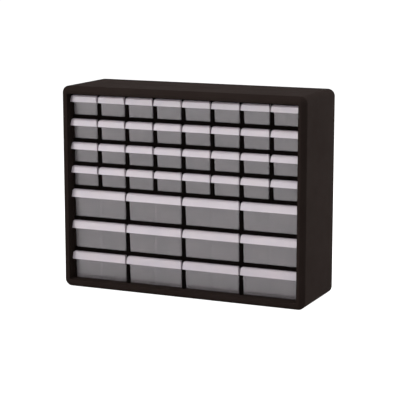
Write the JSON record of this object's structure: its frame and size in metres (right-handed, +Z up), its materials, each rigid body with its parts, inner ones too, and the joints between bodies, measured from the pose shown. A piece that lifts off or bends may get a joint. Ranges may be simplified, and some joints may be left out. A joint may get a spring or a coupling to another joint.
{
  "type": "parts bin cabinet",
  "caption": "Free-standing or wall-hung parts cabinet: a black moulded case with rows of small and large translucent pull-out drawers, each with a finger lip and a rear stop tab.",
  "frame": {"origin": "centre of the base, on the surface the cabinet stands on", "axes": "+X to the viewer's right along the drawer rows, +Y towards the back, +Z up; drawers pull out along -Y"},
  "size_m": [0.508, 0.168, 0.4],
  "materials": {
    "black_shell": "black moulded high-impact plastic, satin with a fine grain",
    "black_rack": "black moulded plastic, plain",
    "clear_drawer": "translucent milky polypropylene",
    "screw_steel": "zinc plated"
  },
  "bodies": {
    "cabinet": {"outer_case": "black_shell", "back_cover": "black_shell", "back_screws": "screw_steel", "shelf_1": "black_rack", "shelf_2": "black_rack", "shelf_3": "black_rack", "shelf_4": "black_rack", "shelf_5": "black_rack", "shelf_6": "black_rack", "small_uprights": "black_rack", "large_uprights": "black_rack"},
    "small_drawer_1_1": {"small_drawer_1_1": "clear_drawer"},
    "small_drawer_1_2": {"small_drawer_1_2": "clear_drawer"},
    "small_drawer_1_3": {"small_drawer_1_3": "clear_drawer"},
    "small_drawer_1_4": {"small_drawer_1_4": "clear_drawer"},
    "small_drawer_1_5": {"small_drawer_1_5": "clear_drawer"},
    "small_drawer_1_6": {"small_drawer_1_6": "clear_drawer"},
    "small_drawer_1_7": {"small_drawer_1_7": "clear_drawer"},
    "small_drawer_1_8": {"small_drawer_1_8": "clear_drawer"},
    "small_drawer_2_1": {"small_drawer_2_1": "clear_drawer"},
    "small_drawer_2_2": {"small_drawer_2_2": "clear_drawer"},
    "small_drawer_2_3": {"small_drawer_2_3": "clear_drawer"},
    "small_drawer_2_4": {"small_drawer_2_4": "clear_drawer"},
    "small_drawer_2_5": {"small_drawer_2_5": "clear_drawer"},
    "small_drawer_2_6": {"small_drawer_2_6": "clear_drawer"},
    "small_drawer_2_7": {"small_drawer_2_7": "clear_drawer"},
    "small_drawer_2_8": {"small_drawer_2_8": "clear_drawer"},
    "small_drawer_3_1": {"small_drawer_3_1": "clear_drawer"},
    "small_drawer_3_2": {"small_drawer_3_2": "clear_drawer"},
    "small_drawer_3_3": {"small_drawer_3_3": "clear_drawer"},
    "small_drawer_3_4": {"small_drawer_3_4": "clear_drawer"},
    "small_drawer_3_5": {"small_drawer_3_5": "clear_drawer"},
    "small_drawer_3_6": {"small_drawer_3_6": "clear_drawer"},
    "small_drawer_3_7": {"small_drawer_3_7": "clear_drawer"},
    "small_drawer_3_8": {"small_drawer_3_8": "clear_drawer"},
    "small_drawer_4_1": {"small_drawer_4_1": "clear_drawer"},
    "small_drawer_4_2": {"small_drawer_4_2": "clear_drawer"},
    "small_drawer_4_3": {"small_drawer_4_3": "clear_drawer"},
    "small_drawer_4_4": {"small_drawer_4_4": "clear_drawer"},
    "small_drawer_4_5": {"small_drawer_4_5": "clear_drawer"},
    "small_drawer_4_6": {"small_drawer_4_6": "clear_drawer"},
    "small_drawer_4_7": {"small_drawer_4_7": "clear_drawer"},
    "small_drawer_4_8": {"small_drawer_4_8": "clear_drawer"},
    "large_drawer_1_1": {"large_drawer_1_1": "clear_drawer"},
    "large_drawer_1_2": {"large_drawer_1_2": "clear_drawer"},
    "large_drawer_1_3": {"large_drawer_1_3": "clear_drawer"},
    "large_drawer_1_4": {"large_drawer_1_4": "clear_drawer"},
    "large_drawer_2_1": {"large_drawer_2_1": "clear_drawer"},
    "large_drawer_2_2": {"large_drawer_2_2": "clear_drawer"},
    "large_drawer_2_3": {"large_drawer_2_3": "clear_drawer"},
    "large_drawer_2_4": {"large_drawer_2_4": "clear_drawer"},
    "large_drawer_3_1": {"large_drawer_3_1": "clear_drawer"},
    "large_drawer_3_2": {"large_drawer_3_2": "clear_drawer"},
    "large_drawer_3_3": {"large_drawer_3_3": "clear_drawer"},
    "large_drawer_3_4": {"large_drawer_3_4": "clear_drawer"}
  },
  "joints": [
    {"name": "small_drawer_1_1_slide", "type": "slide", "parent": "cabinet", "child": "small_drawer_1_1", "axis": [0, -1, 0], "range_m": [0, 0.1374]},
    {"name": "small_drawer_1_2_slide", "type": "slide", "parent": "cabinet", "child": "small_drawer_1_2", "axis": [0, -1, 0], "range_m": [0, 0.1374]},
    {"name": "small_drawer_1_3_slide", "type": "slide", "parent": "cabinet", "child": "small_drawer_1_3", "axis": [0, -1, 0], "range_m": [0, 0.1374]},
    {"name": "small_drawer_1_4_slide", "type": "slide", "parent": "cabinet", "child": "small_drawer_1_4", "axis": [0, -1, 0], "range_m": [0, 0.1374]},
    {"name": "small_drawer_1_5_slide", "type": "slide", "parent": "cabinet", "child": "small_drawer_1_5", "axis": [0, -1, 0], "range_m": [0, 0.1374]},
    {"name": "small_drawer_1_6_slide", "type": "slide", "parent": "cabinet", "child": "small_drawer_1_6", "axis": [0, -1, 0], "range_m": [0, 0.1374]},
    {"name": "small_drawer_1_7_slide", "type": "slide", "parent": "cabinet", "child": "small_drawer_1_7", "axis": [0, -1, 0], "range_m": [0, 0.1374]},
    {"name": "small_drawer_1_8_slide", "type": "slide", "parent": "cabinet", "child": "small_drawer_1_8", "axis": [0, -1, 0], "range_m": [0, 0.1374]},
    {"name": "small_drawer_2_1_slide", "type": "slide", "parent": "cabinet", "child": "small_drawer_2_1", "axis": [0, -1, 0], "range_m": [0, 0.1374]},
    {"name": "small_drawer_2_2_slide", "type": "slide", "parent": "cabinet", "child": "small_drawer_2_2", "axis": [0, -1, 0], "range_m": [0, 0.1374]},
    {"name": "small_drawer_2_3_slide", "type": "slide", "parent": "cabinet", "child": "small_drawer_2_3", "axis": [0, -1, 0], "range_m": [0, 0.1374]},
    {"name": "small_drawer_2_4_slide", "type": "slide", "parent": "cabinet", "child": "small_drawer_2_4", "axis": [0, -1, 0], "range_m": [0, 0.1374]},
    {"name": "small_drawer_2_5_slide", "type": "slide", "parent": "cabinet", "child": "small_drawer_2_5", "axis": [0, -1, 0], "range_m": [0, 0.1374]},
    {"name": "small_drawer_2_6_slide", "type": "slide", "parent": "cabinet", "child": "small_drawer_2_6", "axis": [0, -1, 0], "range_m": [0, 0.1374]},
    {"name": "small_drawer_2_7_slide", "type": "slide", "parent": "cabinet", "child": "small_drawer_2_7", "axis": [0, -1, 0], "range_m": [0, 0.1374]},
    {"name": "small_drawer_2_8_slide", "type": "slide", "parent": "cabinet", "child": "small_drawer_2_8", "axis": [0, -1, 0], "range_m": [0, 0.1374]},
    {"name": "small_drawer_3_1_slide", "type": "slide", "parent": "cabinet", "child": "small_drawer_3_1", "axis": [0, -1, 0], "range_m": [0, 0.1374]},
    {"name": "small_drawer_3_2_slide", "type": "slide", "parent": "cabinet", "child": "small_drawer_3_2", "axis": [0, -1, 0], "range_m": [0, 0.1374]},
    {"name": "small_drawer_3_3_slide", "type": "slide", "parent": "cabinet", "child": "small_drawer_3_3", "axis": [0, -1, 0], "range_m": [0, 0.1374]},
    {"name": "small_drawer_3_4_slide", "type": "slide", "parent": "cabinet", "child": "small_drawer_3_4", "axis": [0, -1, 0], "range_m": [0, 0.1374]},
    {"name": "small_drawer_3_5_slide", "type": "slide", "parent": "cabinet", "child": "small_drawer_3_5", "axis": [0, -1, 0], "range_m": [0, 0.1374]},
    {"name": "small_drawer_3_6_slide", "type": "slide", "parent": "cabinet", "child": "small_drawer_3_6", "axis": [0, -1, 0], "range_m": [0, 0.1374]},
    {"name": "small_drawer_3_7_slide", "type": "slide", "parent": "cabinet", "child": "small_drawer_3_7", "axis": [0, -1, 0], "range_m": [0, 0.1374]},
    {"name": "small_drawer_3_8_slide", "type": "slide", "parent": "cabinet", "child": "small_drawer_3_8", "axis": [0, -1, 0], "range_m": [0, 0.1374]},
    {"name": "small_drawer_4_1_slide", "type": "slide", "parent": "cabinet", "child": "small_drawer_4_1", "axis": [0, -1, 0], "range_m": [0, 0.1374]},
    {"name": "small_drawer_4_2_slide", "type": "slide", "parent": "cabinet", "child": "small_drawer_4_2", "axis": [0, -1, 0], "range_m": [0, 0.1374]},
    {"name": "small_drawer_4_3_slide", "type": "slide", "parent": "cabinet", "child": "small_drawer_4_3", "axis": [0, -1, 0], "range_m": [0, 0.1374]},
    {"name": "small_drawer_4_4_slide", "type": "slide", "parent": "cabinet", "child": "small_drawer_4_4", "axis": [0, -1, 0], "range_m": [0, 0.1374]},
    {"name": "small_drawer_4_5_slide", "type": "slide", "parent": "cabinet", "child": "small_drawer_4_5", "axis": [0, -1, 0], "range_m": [0, 0.1374]},
    {"name": "small_drawer_4_6_slide", "type": "slide", "parent": "cabinet", "child": "small_drawer_4_6", "axis": [0, -1, 0], "range_m": [0, 0.1374]},
    {"name": "small_drawer_4_7_slide", "type": "slide", "parent": "cabinet", "child": "small_drawer_4_7", "axis": [0, -1, 0], "range_m": [0, 0.1374]},
    {"name": "small_drawer_4_8_slide", "type": "slide", "parent": "cabinet", "child": "small_drawer_4_8", "axis": [0, -1, 0], "range_m": [0, 0.1374]},
    {"name": "large_drawer_1_1_slide", "type": "slide", "parent": "cabinet", "child": "large_drawer_1_1", "axis": [0, -1, 0], "range_m": [0, 0.1374]},
    {"name": "large_drawer_1_2_slide", "type": "slide", "parent": "cabinet", "child": "large_drawer_1_2", "axis": [0, -1, 0], "range_m": [0, 0.1374]},
    {"name": "large_drawer_1_3_slide", "type": "slide", "parent": "cabinet", "child": "large_drawer_1_3", "axis": [0, -1, 0], "range_m": [0, 0.1374]},
    {"name": "large_drawer_1_4_slide", "type": "slide", "parent": "cabinet", "child": "large_drawer_1_4", "axis": [0, -1, 0], "range_m": [0, 0.1374]},
    {"name": "large_drawer_2_1_slide", "type": "slide", "parent": "cabinet", "child": "large_drawer_2_1", "axis": [0, -1, 0], "range_m": [0, 0.1374]},
    {"name": "large_drawer_2_2_slide", "type": "slide", "parent": "cabinet", "child": "large_drawer_2_2", "axis": [0, -1, 0], "range_m": [0, 0.1374]},
    {"name": "large_drawer_2_3_slide", "type": "slide", "parent": "cabinet", "child": "large_drawer_2_3", "axis": [0, -1, 0], "range_m": [0, 0.1374]},
    {"name": "large_drawer_2_4_slide", "type": "slide", "parent": "cabinet", "child": "large_drawer_2_4", "axis": [0, -1, 0], "range_m": [0, 0.1374]},
    {"name": "large_drawer_3_1_slide", "type": "slide", "parent": "cabinet", "child": "large_drawer_3_1", "axis": [0, -1, 0], "range_m": [0, 0.1374]},
    {"name": "large_drawer_3_2_slide", "type": "slide", "parent": "cabinet", "child": "large_drawer_3_2", "axis": [0, -1, 0], "range_m": [0, 0.1374]},
    {"name": "large_drawer_3_3_slide", "type": "slide", "parent": "cabinet", "child": "large_drawer_3_3", "axis": [0, -1, 0], "range_m": [0, 0.1374]},
    {"name": "large_drawer_3_4_slide", "type": "slide", "parent": "cabinet", "child": "large_drawer_3_4", "axis": [0, -1, 0], "range_m": [0, 0.1374]}
  ]
}
